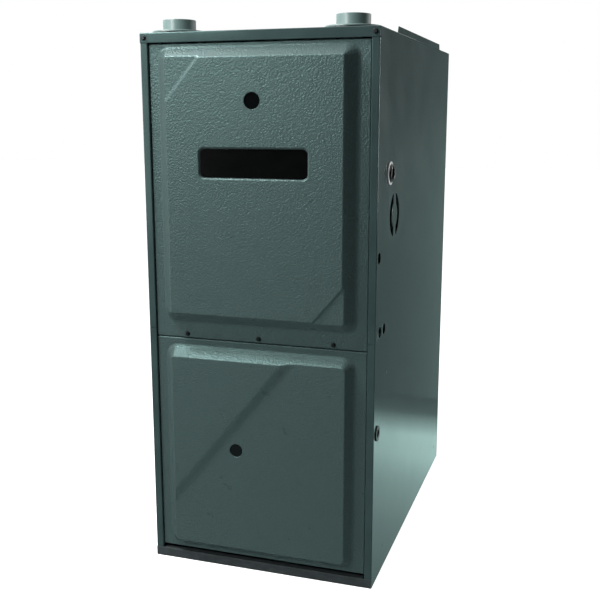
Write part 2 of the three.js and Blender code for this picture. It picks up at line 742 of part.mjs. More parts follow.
// Assembly.
const cabinet = new THREE.Group();
cabinet.add(
  piece('left_side_panel', sidePanel(-1), greyPaint),
  piece('right_side_panel', sidePanel(1), greyPaint),
  piece('rear_panel', block(-width / 2, width / 2, depth - sheet, depth, 0, height - sheet - gap), greyPaint),
  piece('base_pan', basePan(), darkPaint),
  piece('top_cover', topCover(), greyPaint),
  piece('supply_flange', supplyFlange(), greyPaint),
  piece('centre_rail', centreRail(), greyPaint),
  piece('blower_deck', blowerDeck(), galvanised),
  piece('vestibule_panel', vestibulePanel(), galvanised),
  piece('intake_collar', pipeCollar(collar.intakeX), greyPlastic),
  piece('intake_gasket', collarGasket(collar.intakeX), blackRubber),
  piece('flue_collar', pipeCollar(collar.flueX), greyPlastic),
  piece('flue_gasket', collarGasket(collar.flueX), blackRubber),
  piece('gas_line_grommet', gasLineGrommet(), blackRubber),
  piece('wiring_bushing', wiringBushing(), blackPlastic),
);
for (const [end, side] of [['left', -1], ['right', 1]]) {
  cabinet.add(piece(`top_rail_screw_${end}`, panelScrew(8), blackSteel,
    [side * (width / 2 - railScrew.inset), -stripProud - gap, height - railScrew.drop]));
}

const upperDoorGroup = new THREE.Group();
upperDoorGroup.add(
  piece('upper_door', upperDoorPanel(), greyPaint),
  piece('nameplate', nameplate(), blackPlastic),
  piece('upper_sight_glass', sightGlass(upperDoor), darkGlass),
);
const screwNames = ['left', 'middle', 'right'];
doorScrewX.forEach((x, i) => {
  upperDoorGroup.add(piece(`door_screw_${screwNames[i]}`, panelScrew(18), blackSteel,
    [x, doorRecess - gap, doorScrewHeight]));
});
const lowerDoorGroup = new THREE.Group();
lowerDoorGroup.add(
  piece('lower_door', pressedDoor(lowerDoor), greyPaint),
  piece('lower_sight_glass', sightGlass(lowerDoor), darkGlass),
);

const exchanger = new THREE.Group();
tubeX.forEach((x, i) => {
  exchanger.add(piece(`heat_exchanger_tube_${i + 1}`, exchangerTube(), aluminised, [x, 0, 0]));
});
exchanger.add(
  piece('rear_header', rearHeader(), aluminised),
  piece('secondary_coil', secondaryCoil(), aluminised),
  piece('coil_front_cover', coilFrontCover(), blackPlastic),
);

const gasTrain = new THREE.Group();
gasTrain.add(
  piece('burner_box', burnerBox(), galvanised),
  piece('burner_rack', burnerRack(), aluminised),
  piece('gas_manifold', gasManifold(), blackSteel),
  piece('gas_valve', gasValve(), castAlloy),
  piece('gas_valve_knob', gasValveKnob(), redPlastic, [-60, 61.5, gasLine.height]),
  piece('igniter', igniter(), ceramic),
  piece('flame_sensor', flameSensor(), ceramic),
  piece('rollout_switch', rolloutSwitch(), blackPlastic, [66, 150, 924.3]),
  piece('rollout_reset_button', resetButton(), redPlastic, [66, 150, 924.3]),
);

const draught = new THREE.Group();
draught.add(
  piece('inducer_housing', inducerHousing(), blackPlastic),
  piece('inducer_motor', inducerMotor(), motorPaint),
  piece('inducer_wheel', inducerWheel(), blackPlastic, [inducer.x, inducer.depth, inducer.height]),
  piece('flue_coupling', flueCoupling(), blackRubber),
  piece('flue_pipe', fluePipe(), greyPlastic, [collar.flueX, 0, 0]),
  piece('pressure_switch', pressureSwitch(), blackPlastic),
  piece('drain_trap', drainTrap(), greyPlastic),
);

const airMover = new THREE.Group();
const blowerCentre = [0, blower.depth, blower.height];
airMover.add(
  piece('blower_housing', blowerHousing(), galvanised, blowerCentre),
  piece('blower_wheel', blowerWheel(), galvanised, blowerCentre),
  piece('blower_motor', blowerMotor(), motorPaint, blowerCentre),
  piece('motor_bracket', motorBracket(), blackSteel, blowerCentre),
  piece('run_capacitor', runCapacitor(), aluminised),
);

const controls = new THREE.Group();
controls.add(
  piece('control_bracket', controlBracket(), galvanised),
  piece('control_board', controlBoard(), greenBoard),
  piece('transformer', transformer(), motorPaint),
  piece('door_switch', doorSwitch(), blackPlastic),
  piece('door_switch_plunger', doorSwitchPlunger(), redPlastic, [plungerAt.x, 0, plungerAt.z]),
);

cabinet.add(upperDoorGroup, lowerDoorGroup, exchanger, gasTrain, draught, airMover, controls);
cabinet.position.y = (doorProud - depth) / 2;

const furnace = new THREE.Group();
furnace.add(cabinet);
export default furnace;
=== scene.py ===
import json
import math

import bmesh
import bpy
import numpy as np
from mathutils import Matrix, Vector


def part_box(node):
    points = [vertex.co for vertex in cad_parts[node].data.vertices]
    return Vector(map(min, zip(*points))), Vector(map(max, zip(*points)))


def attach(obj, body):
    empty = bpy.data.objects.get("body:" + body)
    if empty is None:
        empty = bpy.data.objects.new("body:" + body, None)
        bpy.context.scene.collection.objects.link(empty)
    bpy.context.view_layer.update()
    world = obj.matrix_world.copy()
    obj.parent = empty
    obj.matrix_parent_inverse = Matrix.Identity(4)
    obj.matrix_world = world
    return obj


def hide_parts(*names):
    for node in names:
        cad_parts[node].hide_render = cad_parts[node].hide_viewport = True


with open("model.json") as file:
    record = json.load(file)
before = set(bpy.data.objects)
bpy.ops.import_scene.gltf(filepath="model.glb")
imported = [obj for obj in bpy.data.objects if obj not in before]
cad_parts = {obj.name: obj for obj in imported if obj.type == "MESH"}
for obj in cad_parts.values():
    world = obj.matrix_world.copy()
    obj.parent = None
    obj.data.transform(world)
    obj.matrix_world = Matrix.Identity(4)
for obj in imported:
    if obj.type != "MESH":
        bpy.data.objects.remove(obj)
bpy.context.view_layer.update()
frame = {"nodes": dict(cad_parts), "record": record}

mm = 0.001
quarter = math.pi / 2
stilePlane = -0.3472  # the frame's y of the plane of the front stiles


def place(x, y, z):
    return (x * mm, stilePlane + y * mm, z * mm)  # cabinet millimetres to the frame's metres


def linear(code):
    parts = [int(code[i:i + 2], 16) / 255 for i in (1, 3, 5)]
    return tuple(c / 12.92 if c <= 0.04045 else ((c + 0.055) / 1.055) ** 2.4 for c in parts) + (1.0,)


def every(size):
    return 1 / (size * mm)  # texture scale of a pattern whose grains are this many mm apart


def connect(tree, node, links):
    for key, source in links.items():  # a node stands for its first output
        socket = source.outputs[0] if hasattr(source, "outputs") else source
        tree.links.new(socket, node.inputs[key])


def setStops(elements, stops):
    elements.remove(elements[1])
    for i, (spot, shade) in enumerate(stops):  # a shade is a colour code or a grey level
        stop = elements[0] if i == 0 else elements.new(spot)
        stop.position = spot
        stop.color = linear(shade) if isinstance(shade, str) else (shade,) * 3 + (1,)


def addNode(tree, kind, settings=None, links=None):
    node = tree.nodes.new("ShaderNode" + kind)
    for key, value in (settings or {}).items():
        if key == "stops":
            setStops(node.color_ramp.elements, value)
        elif isinstance(key, int) or key in node.inputs:
            node.inputs[key].default_value = value
        else:
            setattr(node, key, value)
    connect(tree, node, links or {})
    return node


def newMaterial(name, base, roughness, metallic=0.0):
    material = bpy.data.materials.new(name)
    material.use_nodes = True
    tree = material.node_tree
    shader = tree.nodes["Principled BSDF"]
    shader.inputs["Base Color"].default_value = linear(base)
    shader.inputs["Roughness"].default_value = roughness
    shader.inputs["Metallic"].default_value = metallic
    return material, tree, shader, addNode(tree, "TexCoord").outputs["Object"]


# the grain is drawn a little coarser than on the real door, so that it shows from across a room
doorPaintLook = {
    "dark": "#3c4c4c", "light": "#465655", "gloss": "#b4e6e0", "rough": 0.31, "grain": 3.0, "depth": 0.7,
    "warp": 4.5, "shift": 2.2, "fine": 1.5, "fineShare": 0.6, "clouds": 40,
}


def embossedEnamel():
    # leather-grain baked enamel on pressed sheet: soft pebbles that catch the key light as fine sparkle
    look = doorPaintLook
    material, tree, shader, coords = newMaterial("grained baked enamel on pressed steel", look["light"],
                                                 look["rough"])
    shader.inputs["Specular Tint"].default_value = linear(look["gloss"])
    warp = addNode(tree, "TexNoise", {"Scale": every(look["warp"])}, {"Vector": coords})
    shift = addNode(tree, "VectorMath", {"operation": "SCALE", "Scale": look["shift"] * mm},
                    {"Vector": warp.outputs["Color"]})
    wavy = addNode(tree, "VectorMath", {"operation": "ADD"}, {0: coords, 1: shift})
    pebbles = addNode(tree, "TexVoronoi", {"feature": "SMOOTH_F1", "Scale": every(look["grain"]),
                                           "Smoothness": 0.6}, {"Vector": wavy})
    fine = addNode(tree, "TexNoise", {"Scale": every(look["fine"]), "Detail": 3.0, "Roughness": 0.6},
                   {"Vector": coords})
    domes = addNode(tree, "Math", {"operation": "MULTIPLY", 1: -1.0}, {0: pebbles})
    height = addNode(tree, "Math", {"operation": "MULTIPLY_ADD", 1: look["fineShare"]}, {0: fine, 2: domes})
    bump = addNode(tree, "Bump", {"Distance": look["depth"] * mm, "Strength": 0.85}, {"Height": height})
    colour = addNode(tree, "ValToRGB", {"stops": [(0.3, look["dark"]), (0.7, look["light"])]}, {"Fac": fine})
    clouds = addNode(tree, "TexNoise", {"Scale": every(look["clouds"])}, {"Vector": coords})
    sheen = addNode(tree, "MapRange", {"From Min": 0.3, "From Max": 0.7, "To Min": look["rough"] - 0.04,
                                       "To Max": look["rough"] + 0.05}, {"Value": clouds})
    connect(tree, shader, {"Base Color": colour, "Roughness": sheen, "Normal": bump})
    return material


cabinetPaintLook = {
    "dark": "#344343", "light": "#3a4a4a", "gloss": "#b4e6e0", "rough": 0.15,
    "wave": 70, "waveStretch": 0.03, "waveDepth": 0.04, "tone": 60, "clouds": 90,
}


def satinEnamel():
    # smooth factory enamel on rolled sheet: faint upright waves from the mill keep reflections long and soft
    look = cabinetPaintLook
    material, tree, shader, coords = newMaterial("smooth baked enamel on rolled steel", look["light"],
                                                 look["rough"])
    shader.inputs["Specular Tint"].default_value = linear(look["gloss"])
    upright = addNode(tree, "Mapping", {"Scale": (1, 1, look["waveStretch"])}, {"Vector": coords})
    waves = addNode(tree, "TexNoise", {"Scale": every(look["wave"]), "Detail": 0.0}, {"Vector": upright})
    bump = addNode(tree, "Bump", {"Distance": look["waveDepth"] * mm, "Strength": 1.0}, {"Height": waves})
    tone = addNode(tree, "TexNoise", {"Scale": every(look["tone"]), "Detail": 3.0}, {"Vector": coords})
    colour = addNode(tree, "ValToRGB", {"stops": [(0.3, look["dark"]), (0.7, look["light"])]}, {"Fac": tone})
    clouds = addNode(tree, "TexNoise", {"Scale": every(look["clouds"])}, {"Vector": coords})
    sheen = addNode(tree, "MapRange", {"From Min": 0.3, "From Max": 0.7, "To Min": look["rough"] - 0.02,
                                       "To Max": look["rough"] + 0.03}, {"Value": clouds})
    connect(tree, shader, {"Base Color": colour, "Roughness": sheen, "Normal": bump})
    return material


def plinthEnamel():
    # enamel of the base pan, drawn darker than the cabinet and scuffed by handling: a duller, uneven dark
    # band
    material, tree, shader, coords = newMaterial("dark baked enamel on rolled steel", "#33393b", 0.42)
    peel = addNode(tree, "TexNoise", {"Scale": every(2.5)}, {"Vector": coords})
    bump = addNode(tree, "Bump", {"Distance": 0.02 * mm, "Strength": 1.0}, {"Height": peel})
    scuffs = addNode(tree, "TexNoise", {"Scale": every(14), "Detail": 4.0, "Roughness": 0.65},
                     {"Vector": coords})
    colour = addNode(tree, "ValToRGB", {"stops": [(0.3, "#2c3133"), (0.7, "#3b4244")]}, {"Fac": scuffs})
    connect(tree, shader, {"Base Color": colour, "Normal": bump})
    return material


def zincSheet():
    # hot-dipped galvanised sheet: spangled crystals, each of its own grey and sheen
    material, tree, shader, coords = newMaterial("hot-dipped galvanised sheet", "#9aa0a1", 0.35, 1.0)
    spangle = addNode(tree, "TexVoronoi", {"Scale": every(11)}, {"Vector": coords})
    grey = addNode(tree, "SeparateColor", links={"Color": spangle.outputs["Color"]})
    colour = addNode(tree, "ValToRGB", {"stops": [(0.0, "#8b9294"), (1.0, "#b3b8b8")]}, {"Fac": grey})
    sheen = addNode(tree, "MapRange", {"From Min": 0, "From Max": 1, "To Min": 0.28, "To Max": 0.48},
                    {"Value": grey})
    bump = addNode(tree, "Bump", {"Distance": 0.03 * mm, "Strength": 0.6}, {"Height": spangle})
    connect(tree, shader, {"Base Color": colour, "Roughness": sheen, "Normal": bump})
    return material


def aluminisedSteel():
    # aluminised steel tube and sheet: satin, with fine rolling lines and a few heat-tinted clouds
    material, tree, shader, coords = newMaterial("aluminised rolled steel", "#b2b0aa", 0.34, 1.0)
    along = addNode(tree, "Mapping", {"Scale": (1, 0.06, 1)}, {"Vector": coords})
    lines = addNode(tree, "TexNoise", {"Scale": every(1.2), "Detail": 3.0, "Roughness": 0.6},
                    {"Vector": along})
    clouds = addNode(tree, "TexNoise", {"Scale": every(55), "Detail": 3.0}, {"Vector": coords})
    colour = addNode(tree, "ValToRGB", {"stops": [(0.3, "#a59f94"), (0.7, "#bdbcb8")]}, {"Fac": clouds})
    sheen = addNode(tree, "MapRange", {"From Min": 0.3, "From Max": 0.7, "To Min": 0.28, "To Max": 0.42},
                    {"Value": lines})
    bump = addNode(tree, "Bump", {"Distance": 0.02 * mm, "Strength": 0.7}, {"Height": lines})
    connect(tree, shader, {"Base Color": colour, "Roughness": sheen, "Normal": bump})
    return material


def sandCastAlloy():
    # cast aluminium valve body: grainy mould skin that scatters its highlights
    material, tree, shader, coords = newMaterial("sand-cast aluminium", "#8f9395", 0.5, 1.0)
    grit = addNode(tree, "TexNoise", {"Scale": every(1.1), "Detail": 4.0, "Roughness": 0.7},
                   {"Vector": coords})
    bump = addNode(tree, "Bump", {"Distance": 0.12 * mm, "Strength": 0.9}, {"Height": grit})
    colour = addNode(tree, "ValToRGB", {"stops": [(0.3, "#7f8385"), (0.7, "#9da1a2")]}, {"Fac": grit})
    connect(tree, shader, {"Base Color": colour, "Normal": bump})
    return material


def fineSkin(name, dark, light, rough, grain, depth):
    # a moulded, extruded or sprayed skin: very fine, even texture under a soft sheen
    material, tree, shader, coords = newMaterial(name, light, rough)
    texture = addNode(tree, "TexNoise", {"Scale": every(grain)}, {"Vector": coords})
    bump = addNode(tree, "Bump", {"Distance": depth * mm, "Strength": 0.8}, {"Height": texture})
    tone = addNode(tree, "TexNoise", {"Scale": every(18), "Detail": 3.0}, {"Vector": coords})
    colour = addNode(tree, "ValToRGB", {"stops": [(0.3, dark), (0.7, light)]}, {"Fac": tone})
    connect(tree, shader, {"Base Color": colour, "Normal": bump})
    return material


def polishedGlass():
    # sight glass painted near black for the shade of the dark vestibule behind it, with a sharp clear
    # highlight
    material, tree, shader, coords = newMaterial("tempered sight glass", "#07090a", 0.04)
    smears = addNode(tree, "TexNoise", {"Scale": every(9), "Detail": 3.0}, {"Vector": coords})
    sheen = addNode(tree, "MapRange", {"From Min": 0.3, "From Max": 0.8, "To Min": 0.03, "To Max": 0.09},
                    {"Value": smears})
    connect(tree, shader, {"Roughness": sheen})
    return material


def boardLaminate():
    # solder-masked circuit board: green lacquer over faint raised tracks
    material, tree, shader, coords = newMaterial("solder-masked glass epoxy", "#1f5a38", 0.35)
    facing = addNode(tree, "Mapping", {"Rotation": (quarter, 0, 0)}, {"Vector": coords})
    size = {"Scale": 1.0, "Mortar Size": 0.6 * mm, "Brick Width": 11 * mm, "Row Height": 4 * mm}
    shades = {"Color1": linear("#1c5033"), "Color2": linear("#23643f"), "Mortar": linear("#2f7a50")}
    tracks = addNode(tree, "TexBrick", {**size, **shades}, {"Vector": facing})
    bump = addNode(tree, "Bump", {"Distance": 0.05 * mm, "Strength": 0.6}, {"Height": tracks.outputs["Fac"]})
    connect(tree, shader, {"Base Color": tracks, "Normal": bump})
    return material


def firedCeramic():
    # pressed and fired alumina: chalky, faintly speckled, no gloss
    material, tree, shader, coords = newMaterial("fired alumina ceramic", "#e2dacb", 0.75)
    specks = addNode(tree, "TexNoise", {"Scale": every(1.6), "Detail": 4.0, "Roughness": 0.7},
                     {"Vector": coords})
    colour = addNode(tree, "ValToRGB", {"stops": [(0.3, "#cfc6b4"), (0.7, "#ebe5d8")]}, {"Fac": specks})
    connect(tree, shader, {"Base Color": colour})
    return material


def blackenedSteel():
    # phosphated steel screws and brackets: dark with a dry metallic glint
    material, tree, shader, coords = newMaterial("black phosphated steel", "#27292a", 0.45, 0.85)
    tone = addNode(tree, "TexNoise", {"Scale": every(2.2), "Detail": 3.0}, {"Vector": coords})
    colour = addNode(tree, "ValToRGB", {"stops": [(0.3, "#1d1f20"), (0.7, "#343738")]}, {"Fac": tone})
    crystals = addNode(tree, "TexNoise", {"Scale": every(0.8)}, {"Vector": coords})
    bump = addNode(tree, "Bump", {"Distance": 0.02 * mm, "Strength": 0.6}, {"Height": crystals})
    connect(tree, shader, {"Base Color": colour, "Normal": bump})
    return material


finishes = {  # each skin has its dark and light shade, roughness, and its grain and depth in mm
    "grey_paint": satinEnamel(),
    "dark_paint": plinthEnamel(),
    "galvanised_steel": zincSheet(),
    "aluminised_steel": aluminisedSteel(),
    "cast_alloy": sandCastAlloy(),
    "grey_plastic": fineSkin("extruded grey vinyl", "#637876", "#6b827f", 0.34, 2.0, 0.012),
    "black_plastic": fineSkin("black moulded polymer", "#111314", "#1b1d1e", 0.42, 0.9, 0.02),
    "black_rubber": fineSkin("moulded black rubber", "#0b0c0c", "#131414", 0.2, 1.2, 0.01),
    "dark_glass": polishedGlass(),
    "motor_paint": fineSkin("dark motor lacquer on steel", "#25282b", "#31353a", 0.36, 2.4, 0.04),
    "black_steel": blackenedSteel(),
    "green_board": boardLaminate(),
    "ceramic": firedCeramic(),
    "red_plastic": fineSkin("red moulded polymer", "#8f1f1a", "#ac2720", 0.35, 0.9, 0.02),
}
doorFinish = embossedEnamel()
badgeFinish = fineSkin("gloss black acrylic plate", "#050606", "#090a0a", 0.1, 24, 0.001)
washerFinish = fineSkin("pale moulded nylon", "#ccd2d1", "#d8dddc", 0.35, 2.0, 0.01)
print("materials made")


def meshPiece(name, verts, faces, material, body, normals=None, angle=35):
    mesh = bpy.data.meshes.new(name)
    mesh.from_pydata([tuple(v) for v in verts], [], [tuple(f) for f in faces])
    mesh.update()
    mesh.materials.append(material)
    mesh.shade_smooth()
    if normals is not None:
        mesh.normals_split_custom_set_from_vertices([tuple(n) for n in normals])
    else:
        mesh.set_sharp_from_angle(angle=math.radians(angle))
    piece = bpy.data.objects.new(name, mesh)
    bpy.context.scene.collection.objects.link(piece)
    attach(piece, body)
    return piece


def circle(u, v, radius, count):
    return [(u + radius * math.cos(2 * math.pi * i / count), v + radius * math.sin(2 * math.pi * i / count))
            for i in range(count)]


def arc(u, v, radius, start, end, count, tall=None):
    # points of an arc about (u, v), from one angle in degrees to another
    turns = [math.radians(angle) for angle in np.linspace(start, end, count)]
    return [(u + radius * math.cos(a), v + (tall or radius) * math.sin(a)) for a in turns]


def rectangle(left, right, low, high):
    return [(left, low), (right, low), (right, high), (left, high)]


sheetLook = {"thickness": 1.2, "sharp": 40, "weld": 2e-6}


class Sheet:  # a folded sheet metal skin, built face by face and then given its thickness
    def __init__(self):
        self.bm = bmesh.new()

    def fill(self, loops, toSpace, outward):
        edges = []
        for loop in loops:
            verts = [self.bm.verts.new(toSpace(u, v)) for u, v in loop]
            edges += [self.bm.edges.new((verts[i - 1], verts[i])) for i in range(len(verts))]
        made = bmesh.ops.triangle_fill(self.bm, edges=edges, use_beauty=True, use_dissolve=False)["geom"]
        for face in [f for f in made if isinstance(f, bmesh.types.BMFace)]:
            self.turn(face, Vector(outward))

    def strip(self, lineA, lineB, outward):
        # outward gives the outside's direction at a face's centre
        a = [self.bm.verts.new(p) for p in lineA]
        b = [self.bm.verts.new(p) for p in lineB]
        for i in range(len(a) - 1):
            face = self.bm.faces.new((a[i], a[i + 1], b[i + 1], b[i]))
            self.turn(face, Vector(outward(face.calc_center_median())))

    def turn(self, face, outward):
        face.normal_update()
        if face.normal.dot(outward) < 0:
            face.normal_flip()

    def pressRings(self, u, v, rings, toSpace, outward, count):
        # (radius, depth) rings about one centre, joined into a dimple or a groove
        loops = [[toSpace(a, b, depth) for a, b in circle(u, v, radius, count)] for radius, depth in rings]
        for loopA, loopB in zip(loops, loops[1:]):
            self.strip(loopA + loopA[:1], loopB + loopB[:1], lambda centre: outward)

    def finish(self, name, node):
        bmesh.ops.remove_doubles(self.bm, verts=self.bm.verts, dist=sheetLook["weld"])
        mesh = bpy.data.meshes.new(name)
        self.bm.to_mesh(mesh)
        self.bm.free()
        mesh.materials.append(finishes["grey_paint"])
        mesh.shade_smooth()
        piece = bpy.data.objects.new(name, mesh)
        bpy.context.scene.collection.objects.link(piece)
        solid = piece.modifiers.new("thickness", "SOLIDIFY")
        solid.thickness = sheetLook["thickness"] * mm
        solid.offset = -1  # the sheet grows inwards from its outside
        solid.use_even_offset = True
        mesh.set_sharp_from_angle(angle=math.radians(sheetLook["sharp"]))
        weighted = piece.modifiers.new("flat faces", "WEIGHTED_NORMAL")
        weighted.keep_sharp = True
        weighted.weight = 100
        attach(piece, "cabinet")
        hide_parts(node)


def lathe(name, profile, centre, axis, material, node, count=96, angle=30):
    # profile points are (radius, height along the axis), closed into a solid of revolution
    verts, faces = [], []
    rows = len(profile)
    for i in range(count):
        c, s = math.cos(2 * math.pi * i / count), math.sin(2 * math.pi * i / count)
        for r, h in profile:
            turned = (h, r * c, r * s) if axis == "x" else (r * c, r * s, h)
            verts.append(place(*[a + b for a, b in zip(centre, turned)]))
    for i in range(count):
        j = (i + 1) % count
        for k in range(rows):
            m = (k + 1) % rows
            faces.append((i * rows + k, j * rows + k, j * rows + m, i * rows + m))
    piece = meshPiece(name, verts, faces, material, "cabinet", angle=angle)
    bm = bmesh.new()
    bm.from_mesh(piece.data)
    bmesh.ops.remove_doubles(bm, verts=bm.verts, dist=1e-6)
    bmesh.ops.recalc_face_normals(bm, faces=bm.faces)
    bm.to_mesh(piece.data)
    bm.free()
    piece.data.set_sharp_from_angle(angle=math.radians(angle))
    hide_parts(node)


# field and pocket are (left, right, low, high), and sight and holes are (x, z, radius). Each crease has
# two points on its high edge, its width and its step down
upperDoorLook = {
    "halfWidth": 207.2, "bottom": 456.4, "top": 996.0, "field": (-186, 186, 488, 990), "corner": 22,
    "rise": 24, "run": 20,
    "creases": [((-64.6, 1010), (-220, 830), 4.8, 3.0), ((52.6, 440), (220, 636), 3.2, 3.0)],
    "sight": (0, 895, 15.5), "pocket": (-102, 102, 760, 813), "pocketDeep": 5.0,
    "holes": [(-144, 464, 2.2), (0, 464, 2.2), (144, 464, 2.2)],
}
lowerDoorLook = {
    "halfWidth": 207.2, "bottom": 24.6, "top": 455.0, "field": (-186, 184, 33, 440), "corner": 22,
    "rise": 22, "run": 17, "creases": [((-220, 91.4), (89.3, 470), 15.0, 4.6)],
    "sight": (-41.6, 247, 13.4), "pocket": None, "holes": [],
}
pressLook = {  # shared by both doors; the rim lies recess behind the stiles, and a rise starts at the rim
    "recess": 4, "return": 8, "hem": 5.0, "bend": 2.2, "sheet": 1.2,
    "foot": 4.5, "crest": 1.8, "creaseSoft": 0.3,
    "pocketCorner": 9, "pocketSpread": 1.5, "pocketFoot": 1.2, "pocketSlope": 1.9, "pocketCrest": 0.8,
    "coarse": 2.1, "fine": 1.15, "backCoarse": 9, "backFine": 4, "reach": 4, "probe": 0.25, "backGap": 5,
}


def softRamp(d, r):
    return np.where(d <= -r, 0.0, np.where(d >= r, d, (d + r) ** 2 / (4 * r)))


def softMin(a, b, r):
    return a - softRamp(a - b, r)


def insideRect(x, z, rect, radius):
    # distance inwards from the edge of a rectangle with round corners
    left, right, bottom, top = rect
    qx = np.abs(x - (left + right) / 2) - (right - left) / 2 + radius
    qz = np.abs(z - (bottom + top) / 2) - (top - bottom) / 2 + radius
    return radius - np.hypot(np.maximum(qx, 0), np.maximum(qz, 0)) - np.minimum(np.maximum(qx, qz), 0)


def doorHeight(x, z, look):
    # how far the pressing stands proud of the rim, with soft feet and crests
    inside = insideRect(x, z, look["field"], look["corner"])
    slope = look["rise"] / look["run"] * softRamp(inside, pressLook["foot"])
    top = np.full_like(x, float(look["rise"]))
    for (x0, z0), (x1, z1), width, step in look["creases"]:
        length = math.hypot(x1 - x0, z1 - z0)
        side = ((x - x0) * (z1 - z0) - (z - z0) * (x1 - x0)) / length  # over zero on the low side
        soft = width * pressLook["creaseSoft"]
        top = top - step / width * (softRamp(side, soft) - softRamp(side - width, soft))
    height = softMin(slope, top, pressLook["crest"])
    if look["pocket"]:
        deep = insideRect(x, z, look["pocket"], pressLook["pocketCorner"]) + pressLook["pocketSpread"]
        wall = softRamp(deep, pressLook["pocketFoot"]) * pressLook["pocketSlope"]
        height = height - softMin(wall, np.full_like(x, look["pocketDeep"]), pressLook["pocketCrest"])
    return height


def doorSlopes(x, z, look):
    probe = pressLook["probe"]
    slopeX = (doorHeight(x + probe, z, look) - doorHeight(x - probe, z, look)) / (2 * probe)
    slopeZ = (doorHeight(x, z + probe, look) - doorHeight(x, z - probe, look)) / (2 * probe)
    return slopeX, slopeZ


def unit(vectors):
    return vectors / np.linalg.norm(vectors, axis=-1, keepdims=True)


def doorBends(look):
    # where the pressing bends, as (place, reach) along x and along z
    run, reach = look["run"], pressLook["reach"]
    left, right, low, high = look["field"]
    bendsX = [(left + run / 2, run / 2 + reach), (right - run / 2, run / 2 + reach)]
    bendsZ = [(low + run / 2, run / 2 + reach), (high - run / 2, run / 2 + reach)]
    if look["pocket"]:
        bendsX += [(edge, reach) for edge in look["pocket"][:2]]
        bendsZ += [(edge, reach) for edge in look["pocket"][2:]]
    return bendsX, bendsZ


def gridLines(low, high, bends, coarse, fine):
    # lines from low to high, closer together near the bends
    lines, here = [low], low
    while here < high - 1e-6:
        near = any(abs(here + fine / 2 - spot) < reach for spot, reach in bends)
        here += fine if near else coarse
        lines.append(min(here, high))
    if lines[-1] - lines[-2] < fine * 0.4:
        lines.pop(-2)
    return lines


def stations(lowEdge, highEdge, bends):
    # (place, setback) of each line across the front, with the rolled rim and its return at both ends
    bend = pressLook["bend"]
    inner = gridLines(lowEdge + bend, highEdge - bend, bends, pressLook["coarse"], pressLook["fine"])
    wrap = [(0.0, float(pressLook["return"])), (0.0, pressLook["hem"])]
    turns = [quarter * k / 4 for k in range(4)]
    wrap += [(bend * (1 - math.cos(turn)), bend * (1 - math.sin(turn))) for turn in turns]
    first = [(lowEdge + offset, back) for offset, back in wrap]
    last = [(highEdge - offset, back) for offset, back in reversed(wrap)]
    return first + [(spot, 0.0) for spot in inner] + last


def gridFaces(shape, keep, reverse=False):
    index = np.arange(shape[0] * shape[1]).reshape(shape)
    corners = [index[:-1, :-1], index[1:, :-1], index[1:, 1:], index[:-1, 1:]]
    if reverse:
        corners = [corners[0]] + corners[:0:-1]
    return np.stack([corner[keep] for corner in corners], 1)


def middles(grid):
    return (grid[:-1, :-1] + grid[1:, 1:]) / 2


def rimNormals(gx, gz, backX, backZ, look):
    # normals of the rolled rim, which turn from the front to the sides
    bend = pressLook["bend"]
    edgeX = np.abs(np.abs(gx) - look["halfWidth"])
    edgeZ = np.minimum(np.abs(gz - look["bottom"]), np.abs(gz - look["top"]))
    turnX, turnZ = [np.where(back > 0, np.clip((bend - np.minimum(edge, bend)) / bend, 0, 1), 0)
                    for back, edge in ((backX, edgeX), (backZ, edgeZ))]
    front = -np.sqrt(np.clip(1 - np.maximum(turnX, turnZ) ** 2, 0, 1)) - 1e-3
    middle = (look["bottom"] + look["top"]) / 2
    return unit(np.stack([np.sign(gx) * turnX, front, np.sign(gz - middle) * turnZ], -1))


def doorFront(look, openings):
    bendsX, bendsZ = doorBends(look)
    xs = stations(-look["halfWidth"], look["halfWidth"], bendsX)
    zs = stations(look["bottom"], look["top"], bendsZ)
    gx, gz = np.meshgrid([s[0] for s in xs], [s[0] for s in zs], indexing="ij")
    backX, backZ = np.meshgrid([s[1] for s in xs], [s[1] for s in zs], indexing="ij")
    back = np.maximum(backX, backZ)
    onReturn = [(b[:-1, :-1] > pressLook["bend"] - 0.01) & (b[1:, 1:] > pressLook["bend"] - 0.01)
                for b in (backX, backZ)]
    keep = ~(onReturn[0] & onReturn[1])  # nothing is wrapped twice at a corner
    for x, z, radius in openings:
        keep &= np.hypot(middles(gx) - x, middles(gz) - z) > radius
    used = np.zeros(gx.shape, int)  # how many kept faces meet at each point
    for i, j in ((0, 0), (1, 0), (1, 1), (0, 1)):
        used[i:i + keep.shape[0], j:j + keep.shape[1]] += keep
    px, pz = gx.copy(), gz.copy()
    for x, z, radius in openings:  # the points round an opening move onto its edge
        far = np.hypot(gx - x, gz - z)
        rim = (used > 0) & (used < 4) & (far < radius + 3)
        px[rim] = x + (gx[rim] - x) * radius / far[rim]
        pz[rim] = z + (gz[rim] - z) * radius / far[rim]
    verts = np.stack([px, back - doorHeight(gx, gz, look), pz], -1)
    slopeX, slopeZ = doorSlopes(gx, gz, look)
    normals = unit(np.stack([-slopeX, -np.ones_like(slopeX), -slopeZ], -1))
    normals = np.where((back > 0)[..., None], rimNormals(gx, gz, backX, backZ, look), normals)
    return verts.reshape(-1, 3), gridFaces(gx.shape, keep), normals.reshape(-1, 3)


